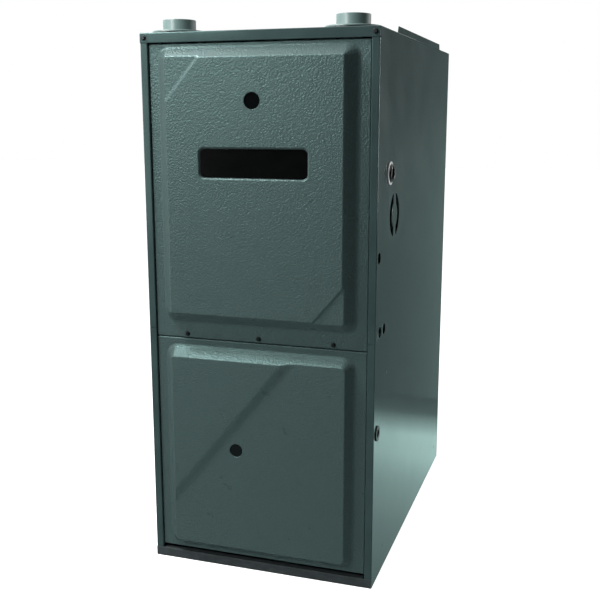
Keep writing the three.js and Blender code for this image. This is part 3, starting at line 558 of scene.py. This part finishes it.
def openingLip(look, x0, z0, radius):
    # rolled lip inside an opening: rings of (radius change, depth, the normal's share towards the front)
    lip = [(0, 0, -1), (-0.25, 0.35, -0.7), (-0.7, 0.9, -0.2), (-0.8, pressLook["sheet"] + 0.9, 0)]
    rows, count = len(lip), 72 if radius > 5 else 20
    base = -float(doorHeight(np.array([x0 + radius]), np.array([float(z0)]), look)[0])
    verts, faces, normals = [], [], []
    for k in range(count):
        c, s = math.cos(2 * math.pi * k / count), math.sin(2 * math.pi * k / count)
        for change, depth, front in lip:
            verts.append((x0 + (radius + change) * c, base + depth, z0 + (radius + change) * s))
            inward = math.sqrt(1 - front * front)
            normals.append((-c * inward, front, -s * inward))
        m = (k + 1) % count
        faces += [(k * rows + q, m * rows + q, m * rows + q + 1, k * rows + q + 1) for q in range(rows - 1)]
    return np.array(verts, float), np.array(faces), np.array(normals, float)


def doorBack(look):
    # plain back of the pressing, one sheet thickness behind its front
    sheet, half = pressLook["sheet"], look["halfWidth"]
    bendsX, bendsZ = doorBends(look)
    steps = (pressLook["backCoarse"], pressLook["backFine"])
    bx = np.array(gridLines(-half + sheet, half - sheet, bendsX, *steps))
    bz = np.array(gridLines(look["bottom"] + sheet, look["top"] - sheet, bendsZ, *steps))
    mx, mz = np.meshgrid(bx, bz, indexing="ij")
    x, z, radius = look["sight"]
    keep = np.hypot(middles(mx) - x, middles(mz) - z) > radius + pressLook["backGap"]
    slopeX, slopeZ = doorSlopes(mx, mz, look)
    normals = unit(np.stack([slopeX, np.ones_like(slopeX), slopeZ], -1))
    verts = np.stack([mx, sheet - doorHeight(mx, mz, look), mz], -1)
    return verts.reshape(-1, 3), gridFaces(mx.shape, keep, reverse=True), normals.reshape(-1, 3)


def doorHem(look):
    # edge and inside of the return flange, one side at a time
    sheet, deep, half = pressLook["sheet"], pressLook["return"], look["halfWidth"]
    outer = rectangle(-half, half, look["bottom"], look["top"])
    inner = rectangle(-half + sheet, half - sheet, look["bottom"] + sheet, look["top"] - sheet)
    sides = []
    for k, (inX, inZ) in enumerate([(0, 1), (-1, 0), (0, -1), (1, 0)]):
        m = (k + 1) % 4
        edge = [(x, deep, z) for x, z in (outer[k], outer[m], inner[m], inner[k])]
        wall = [edge[3], edge[2], (inner[m][0], sheet, inner[m][1]), (inner[k][0], sheet, inner[k][1])]
        sides.append((np.array(edge, float), np.array([(3, 2, 1, 0)]), np.array([(0.0, 1, 0)] * 4)))
        sides.append((np.array(wall, float), np.array([(0, 1, 2, 3)]), np.array([(float(inX), 0, inZ)] * 4)))
    return sides


def pressedDoor(name, look, node):
    openings = [look["sight"]] + look["holes"]
    skins = [doorFront(look, openings)] + [openingLip(look, *opening) for opening in openings]
    skins += [doorBack(look)] + doorHem(look)
    starts = np.cumsum([0] + [len(verts) for verts, faces, normals in skins])
    points = np.concatenate([verts for verts, faces, normals in skins])
    faces = np.concatenate([faces + start for (verts, faces, normals), start in zip(skins, starts)])
    depth = stilePlane + (points[:, 1] + pressLook["recess"]) * mm
    rows = np.stack([points[:, 0] * mm, depth, points[:, 2] * mm], 1)
    piece = meshPiece(name, rows, faces.tolist(), doorFinish, node,
                      normals=np.concatenate([normals for verts, faces, normals in skins]))
    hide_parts(node)
    print(name, len(piece.data.polygons), "faces")


pressedDoor("upper_door_pressing", upperDoorLook, "upper_door")
pressedDoor("lower_door_pressing", lowerDoorLook, "lower_door")
print("doors pressed")

cabinetLook = {
    "width": 444.5, "depth": 714.4, "height": 1016.0, "panelTop": 1014.5, "panelBack": 711.7,
    "bend": 1.7, "cleared": 0.7, "stile": 14.3, "return": 12.0, "rearReturn": 16, "core": (6, 8),
    "strip": 18.3, "cutAt": 471.0, "cut": 1.0,
    "holes": [(92, 768, 19), (20, 623, 10.5), (34, 486, 10.5), (67, 486, 10.5), (25, 298, 10.5)],
    "dimples": [(97, 395), (673, 229), (661, 43), (88, 47)],
    "dimple": [(3.0, 0), (2.1, 0.5), (1.05, 0.85), (0.02, 0.95)],  # (radius, depth) rings
    "knockout": {"at": (138, 689), "outer": 41, "inner": 23, "tab": 9}, "groove": 0.7, "grooveDeep": 0.8,
}


def knockoutSlots():
    # the two open arcs round the vent knock-out, between its tabs
    look = cabinetLook["knockout"]
    (y, z), tab = look["at"], look["tab"]
    wide, narrow = [math.degrees(math.asin(tab / look[ring])) for ring in ("outer", "inner")]
    slots = []
    for way in (-1, 1):
        rim = [(y + way * u, z + v) for u, v in arc(0, 0, look["outer"], wide - 90, 90 - wide, 40)]
        disc = [(y + way * u, z + v) for u, v in arc(0, 0, look["inner"], 90 - narrow, narrow - 90, 30)]
        slots.append(rim + disc)
    return slots


def sideWrapper(name, side, node):
    look = cabinetLook
    half, bend, cleared = look["width"] / 2, look["bend"], look["cleared"]
    top, back = look["panelTop"], look["panelBack"]
    lengths = [(look["strip"], look["cutAt"]), (look["cutAt"] + look["cut"], look["height"] - look["strip"])]
    skin = Sheet()

    def toSpace(y, z, depth=0):
        return place(side * (half - depth), y, z)

    outline = [(cleared, 0), (cleared, lengths[0][0])]
    outline += [(bend, z) for length in lengths for z in length]
    outline += [(cleared, lengths[1][1]), (cleared, top), (back - bend, top), (back - bend, 0)]
    loops = [outline] + [circle(y, z, look["dimple"][0][0], 28) for y, z in look["dimples"]]
    grooves = []
    if side > 0:
        loops += [circle(y, z, r, 72) for y, z, r in look["holes"]] + knockoutSlots()
    else:
        vent = look["knockout"]
        grooves = look["holes"] + [(*vent["at"], vent["outer"]), (*vent["at"], vent["inner"])]
        loops += [circle(y, z, r + way * look["groove"], 72) for y, z, r in grooves for way in (1, -1)]
    skin.fill(loops, toSpace, (side, 0, 0))
    for y, z, r in grooves:  # half-sheared grooves round the knock-outs that are still in place
        rings = [(r + look["groove"], 0), (r, look["grooveDeep"]), (r - look["groove"], 0)]
        skin.pressRings(y, z, rings, toSpace, (side, 0, 0), 72)
    for y, z in look["dimples"]:  # punched pilot dimples
        skin.pressRings(y, z, look["dimple"], toSpace, (side, 0, 0), 28)
    # front fold, stile and inner return, in two lengths with the cut between
    inside = half - look["stile"]
    fold = arc(half - bend, bend, bend, 0, -90, 7) + arc(inside + bend, bend, bend, -90, -180, 5)
    fold.append((inside, look["return"]))
    core = place(side * (half - look["core"][0]), look["core"][1], 0)
    for low, high in lengths:
        skin.strip([place(side * x, y, low) for x, y in fold], [place(side * x, y, high) for x, y in fold],
                   lambda centre: (centre[0] - core[0], centre[1] - core[1], 0))
    rear = arc(half - bend, back - bend, bend, 0, 90, 6) + [(half - look["rearReturn"], back)]
    skin.strip([place(side * x, y, 0) for x, y in rear], [place(side * x, y, top) for x, y in rear],
               lambda centre: (side, 1, 0))
    skin.finish(name, node)


sideWrapper("right_side_wrapper", 1, "right_side_panel")
sideWrapper("left_side_wrapper", -1, "left_side_panel")

collarLook = {
    "at": (-169, 161.6), "depth": 55, "outer": 30.15, "bore": 26.2, "flange": 50, "rise": 25, "below": 32,
    "seat": 2.1, "plate": 3.0, "foot": 1.2, "rim": 0.7, "mouth": 0.8,
}
topLook = {
    "front": -0.8, "bend": 1.6, "hem": 1.0, "drop": 18.0, "return": 9.0, "core": (8, 9),
    "outlet": (-203.5, 203.5, 221.7, 695.3), "pipeHole": 30.45,
}


def topSheet():
    look = topLook
    half, depth, height = cabinetLook["width"] / 2, cabinetLook["depth"], cabinetLook["height"]
    front, bend, hem = look["front"], look["bend"], look["hem"]
    skin = Sheet()
    loops = [rectangle(-half, half, front + bend, depth), rectangle(*look["outlet"])]
    loops += [circle(x, collarLook["depth"], look["pipeHole"], 72) for x in collarLook["at"]]
    skin.fill(loops, lambda x, y: place(x, y, height), (0, 0, 1))
    lip = arc(front + bend, height - bend, bend, 90, 180, 7)
    lip += arc(front + hem, height - look["drop"] + hem, hem, 180, 270, 4)
    lip.append((look["return"], height - look["drop"]))
    core = place(0, look["core"][0], height - look["core"][1])
    skin.strip([place(-half, y, z) for y, z in lip], [place(half, y, z) for y, z in lip],
               lambda centre: (0, centre[1] - core[1], centre[2] - core[2]))
    skin.finish("top_sheet", "top_cover")


topSheet()

rearLook = {
    "rivetX": 214, "rivetZ": (60, 280, 500, 720, 940), "dimple": 5.2,
    "rivet": [(3.9, 0.8), (2.95, 0.9), (2.75, 0.4), (1.7, 0.12), (0.02, 0.05)],  # (radius, depth) rings
}


def rearSheet():
    look = rearLook
    half, depth = cabinetLook["width"] / 2, cabinetLook["depth"]
    spots = [(side * look["rivetX"], z) for side in (-1, 1) for z in look["rivetZ"]]
    skin = Sheet()

    def toSpace(x, z, inward=0):
        return place(x, depth - inward, z)

    loops = [rectangle(-half, half, 0, cabinetLook["panelTop"])]
    loops += [circle(x, z, look["dimple"], 32) for x, z in spots]
    skin.fill(loops, toSpace, (0, 1, 0))
    for x, z in spots:  # a painted rivet sunk in its own dimple
        skin.pressRings(x, z, [(look["dimple"], 0)] + look["rivet"], toSpace, (0, 1, 0), 32)
    skin.finish("rear_sheet", "rear_panel")


rearSheet()


def pipeStub(name, x, node):
    look = collarLook
    outer, bore, flange, rise = look["outer"], look["bore"], look["flange"], look["rise"]
    seat, foot, rim, mouth = look["seat"], look["foot"], look["rim"], look["mouth"]
    profile = [(bore, -look["below"]), (outer, -look["below"]), (outer, seat)]
    profile += [(flange, seat), (flange, seat + 1.2)]
    profile += arc(flange - 1.6, seat + 1.4, 1.6, 5.73, 90, 5, tall=1.5)  # soft edge of the flange
    profile += arc(outer + foot, seat + look["plate"] + foot, foot, -90, -180, 4)
    profile += arc(outer - rim, rise - rim, rim, 0, 90, 4)
    profile += arc(bore + mouth, rise - mouth, mouth, 90, 180, 4)
    lathe(name, profile, (x, look["depth"], cabinetLook["height"]), "z", finishes["grey_plastic"], node)


pipeStub("intake_pipe_stub", collarLook["at"][0], "intake_collar")
pipeStub("flue_pipe_stub", collarLook["at"][1], "flue_collar")

grommetLook = {
    "depth": 92, "height": 768, "base": 21.5, "ring": 16.6, "tip": 14.2, "bore": 11.5, "proud": 6.7,
    "neck": 18.2, "behind": 6, "round": 1.0, "washerRound": 0.9,
}


def rubberGrommet():
    look = grommetLook
    base, ring, tip, bore, proud = look["base"], look["ring"], look["tip"], look["bore"], look["proud"]
    neck, behind, soft = look["neck"], look["behind"], look["round"]
    centre = (cabinetLook["width"] / 2, look["depth"], look["height"])
    profile = [(bore, -behind), (neck, -behind), (neck, 0.2), (base - 1.4, 0.2), (base - 1.4, 1.0)]
    profile += [(ring, 1.0), (ring, 3.0), (tip + 1.0, proud - 1.2)]
    profile += arc(tip - 0.6, proud - soft, soft, 17.19, 90, 5)
    profile += arc(bore + soft, proud - soft, soft, 90, 180, 5)
    rubber = finishes["black_rubber"]
    lathe("rubber_grommet", profile, centre, "x", rubber, "gas_line_grommet")
    # the pale washer lies on the grommet's base, round its ring
    washer = [(ring + 0.2, 1.1), (base - 1.2, 1.1), (base - 1.2, 0.3), (base - 0.4, 0.3)]
    washer += arc(base - look["washerRound"], 1.6, look["washerRound"], 0, 90, 5)
    washer += [(ring + 0.6, 2.5), (ring + 0.2, 2.1)]
    lathe("grommet_washer", washer, centre, "x", washerFinish, "gas_line_grommet")


rubberGrommet()
print("cabinet folded")

replaced = ("upper_door", "lower_door", "right_side_panel", "left_side_panel", "top_cover", "rear_panel",
            "intake_collar", "flue_collar", "gas_line_grommet")
edgeLook = {"width": 0.5, "share": 0.2, "angle": 38, "segments": 2, "weld": 2e-6}


def dressNodes():
    # every other solid keeps its CAD shape and gets its finish and broken edges
    slots = {part["node"]: part["material_slot"] for part in frame["record"]["subparts"]}
    for name, node in frame["nodes"].items():
        if name in replaced:
            continue
        node.data.materials.clear()
        node.data.materials.append(badgeFinish if name == "nameplate" else finishes[slots[name]])
        weld = node.modifiers.new("weld", "WELD")
        weld.merge_threshold = edgeLook["weld"]
        low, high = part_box(name)
        edge = node.modifiers.new("broken edges", "BEVEL")
        edge.width = min(edgeLook["width"] * mm, min(high - low) * edgeLook["share"])
        edge.segments = edgeLook["segments"]
        edge.limit_method = "ANGLE"
        edge.angle_limit = math.radians(edgeLook["angle"])
        edge.harden_normals = True


dressNodes()
print("nodes dressed")

# runs are (place in metres, painted brightness in reflections). Cards are (start, end, low, high, cover)
stageLook = {
    "floor": "#dcdcdc", "lift": 0.93, "paintedReflectionTint": "#b9dcd7", "glintGlow": 1.9, "ambient": 0.09, "reach": 14,
    "paintedReflectionRun": [(-1.0, 0.25), (-0.4, 0.35), (-0.05, 0.7), (0.17, 1.05), (0.35, 1.6), (0.5, 1.75),
                  (0.58, 1.1), (0.7, 0.3), (0.85, 0.2)],
    # painted reflection: glow levels of card_behind across x and up z
    "backdrop": [(-0.3, 0.7), (0.22, 0.55), (0.32, 0.28), (0.5, 0.19), (0.85, 0.17)],
    "backdropRise": [(0.0, 1.0), (0.55, 1.0), (0.75, 0.8), (0.95, 0.45), (1.2, 0.35)],
    "cards": {
        "card_behind": ((-0.3, 0.85), (0.85, 0.85), 0.0, 1.2, "paper"),
        "card_right": ((3.0, -5.0), (3.0, 0.85), 0.0, 3.0, "velvet"),
        "card_front": ((-2.45, -5.0), (3.0, -5.0), 0.0, 4.0, "velvet"),
        "card_left": ((-4.0, -5.0), (-2.45, -5.0), 1.2, 4.0, "velvet"),
        "card_left_low": ((-4.0, -5.0), (-2.45, -5.0), 0.0, 1.2, "board"),
    },
}


def stagePlane(name, corners, material):
    mesh = bpy.data.meshes.new(name)
    mesh.from_pydata(corners, [], [(0, 1, 2, 3)])
    mesh.materials.append(material)
    plane = bpy.data.objects.new(name, mesh)
    bpy.context.scene.collection.objects.link(plane)
    return plane


def graded(tree, value, run):
    # brightness that follows a list of (place, level) steps
    first, last, most = run[0][0], run[-1][0], max(level for spot, level in run)
    along = addNode(tree, "MapRange", {"From Min": first, "From Max": last, "To Min": 0.0, "To Max": 1.0},
                    {"Value": value})
    stops = [((spot - first) / (last - first), level / most) for spot, level in run]
    ramp = addNode(tree, "ValToRGB", {"stops": stops}, {"Fac": along})
    return addNode(tree, "Math", {"operation": "MULTIPLY", 1: most}, {0: ramp})


def paleFloor():
    # smooth pale studio floor: white to the camera with the object's soft shadow; in reflections a painted
    # glow, graded along its depth and tinted teal, paints one bright band of reflection low down on the
    # satin sides
    look = stageLook
    material, tree, shader, coords = newMaterial("painted studio floor", look["floor"], 0.6)
    tone = addNode(tree, "TexNoise", {"Scale": every(400)}, {"Vector": coords})
    colour = addNode(tree, "ValToRGB", {"stops": [(0.3, "#dadada"), (0.7, "#dedede")]}, {"Fac": tone})
    connect(tree, shader, {"Base Color": colour})
    path = addNode(tree, "LightPath").outputs
    lift = addNode(tree, "Math", {"operation": "MULTIPLY", 1: look["lift"]}, {0: path["Is Camera Ray"]})
    glow = addNode(tree, "Emission", {"Color": (1, 1, 1, 1)}, {"Strength": lift})
    both = addNode(tree, "AddShader", links={0: shader, 1: glow})
    depth = addNode(tree, "SeparateXYZ", links={"Vector": coords}).outputs["Y"]
    # painted reflection: the floor glows with this graded, tinted strength only in glossy and transmission
    # rays
    paintedReflectionGlow = addNode(tree, "Emission", {"Color": linear(look["paintedReflectionTint"])},
                    {"Strength": graded(tree, depth, look["paintedReflectionRun"])})
    seen = addNode(tree, "Math", {"operation": "MAXIMUM"},
                   {0: path["Is Glossy Ray"], 1: path["Is Transmission Ray"]})
    mixed = addNode(tree, "MixShader", links={"Fac": seen, 1: both, 2: paintedReflectionGlow})
    connect(tree, tree.nodes["Material Output"], {"Surface": mixed})
    return material


far = stageLook["reach"]
stagePlane("floor", [(x, y, 0) for x, y in rectangle(-far, far, -far, far)], paleFloor())


def velvetCover():
    # black velvet on board: gives the front and right a deep, even black in reflections
    material, tree, shader, coords = newMaterial("black velvet on board", "#0c0d0e", 0.9)
    nap = addNode(tree, "TexNoise", {"Scale": every(30)}, {"Vector": coords})
    colour = addNode(tree, "ValToRGB", {"stops": [(0.3, "#0a0b0c"), (0.7, "#101112")]}, {"Fac": nap})
    connect(tree, shader, {"Base Color": colour})
    return material


def gradedGlowCard():
    # grey card that glows with a painted reflection, graded dimmer towards the top and right: it paints the
    # satin side's even sheen
    look = stageLook
    material, tree, shader, coords = newMaterial("grey card glowing with a painted reflection", "#1c1f1f", 0.9)
    split = addNode(tree, "SeparateXYZ", links={"Vector": coords}).outputs
    # painted reflection: the card's glow, graded across and upward
    across = graded(tree, split["X"], look["backdrop"])
    upward = graded(tree, split["Z"], look["backdropRise"])
    level = addNode(tree, "Math", {"operation": "MULTIPLY"}, {0: across, 1: upward})
    shader.inputs["Emission Color"].default_value = linear(look["paintedReflectionTint"])
    connect(tree, shader, {"Emission Strength": level})
    return material


def glintGlowBoard():
    # white board that glows and is seen only in reflections: its glow paints the small bright glints on the
    # grommet's washer and the corner
    material, tree, shader, coords = newMaterial("white board glowing for painted glints", "#d8dbda", 0.9)
    tone = addNode(tree, "TexNoise", {"Scale": every(30)}, {"Vector": coords})
    colour = addNode(tree, "ValToRGB", {"stops": [(0.3, "#d4d7d6"), (0.7, "#dcdfde")]}, {"Fac": tone})
    connect(tree, shader, {"Base Color": colour})
    # painted glints: the board glows brighter than a lit white
    shader.inputs["Emission Color"].default_value = (1, 1, 1, 1)
    shader.inputs["Emission Strength"].default_value = stageLook["glintGlow"]
    return material


def reflectionCards():
    # studio cards just outside the frame, seen only in reflections
    covers = {"velvet": velvetCover(), "paper": gradedGlowCard(), "board": glintGlowBoard()}
    for name, ((x0, y0), (x1, y1), low, high, cover) in stageLook["cards"].items():
        corners = [(x0, y0, low), (x1, y1, low), (x1, y1, high), (x0, y0, high)]
        card = stagePlane(name, corners, covers[cover])
        card.visible_camera = card.visible_shadow = card.visible_diffuse = False


reflectionCards()

lampLook = {  # place, aim, width, height and power
    "key_softbox": ((-1.0, -1.9, 1.51), (0, -0.35, 0.8), 0.5, 0.5, 20.0),
    "raking_softbox": ((-0.86, -0.75, 2.0), (0, -0.36, 0.7), 0.5, 0.5, 37.0),
    "left_softbox": ((-3.0, -2.2, 1.2), (0, -0.2, 0.5), 2.0, 2.0, 12.0),
    "top_softbox": ((-1.0, -0.2, 3.4), (-0.1, -0.1, 0.5), 1.4, 1.6, 17.0),
    "side_softbox": ((2.5, 2.7, 0.9), (0.2, 0.1, 0.5), 1.2, 1.2, 60.0),
}


def hangLamps():
    for name, (at, aim, width, height, power) in lampLook.items():
        data = bpy.data.lights.new(name, "AREA")
        data.shape = "RECTANGLE"
        data.size, data.size_y = width, height
        data.energy = power
        lamp = bpy.data.objects.new(name, data)
        lamp.location = at
        lamp.rotation_euler = (Vector(aim) - Vector(at)).to_track_quat("-Z", "Y").to_euler()
        bpy.context.scene.collection.objects.link(lamp)


def studioWorld():
    # white to the camera and in reflections, and a weak even fill on the object
    world = bpy.data.worlds.new("studio")
    bpy.context.scene.world = world
    world.use_nodes = True
    tree = world.node_tree
    tree.nodes.clear()
    path = addNode(tree, "LightPath").outputs
    direct = addNode(tree, "Math", {"operation": "MAXIMUM"},
                     {0: path["Is Camera Ray"], 1: path["Is Glossy Ray"]})
    seen = addNode(tree, "Math", {"operation": "MAXIMUM"}, {0: direct, 1: path["Is Transmission Ray"]})
    fill = addNode(tree, "Background", {"Color": (1, 1, 1, 1), "Strength": stageLook["ambient"]})
    white = addNode(tree, "Background", {"Color": (1, 1, 1, 1), "Strength": 1.0})
    mixed = addNode(tree, "MixShader", links={"Fac": seen, 1: fill, 2: white})
    addNode(tree, "OutputWorld", links={"Surface": mixed})


cameraLook = {  # solved from the cabinet's corners in the photograph
    "at": (0.57877, -1.85821, 0.86582), "down": 0.1997, "roll": 0.0003, "turn": 0.3176,
    "lens": 53.99, "sensor": 36,
}


def setCamera():
    look = cameraLook
    data = bpy.data.cameras.new("camera")
    data.sensor_width = look["sensor"]
    data.lens = look["lens"]
    camera = bpy.data.objects.new("camera", data)
    camera.location = look["at"]
    camera.rotation_euler = (quarter - look["down"], look["roll"], look["turn"])
    bpy.context.scene.collection.objects.link(camera)
    bpy.context.scene.camera = camera
    bpy.context.scene.view_settings.view_transform = "Standard"


hangLamps()
studioWorld()
setCamera()
print("stage set")
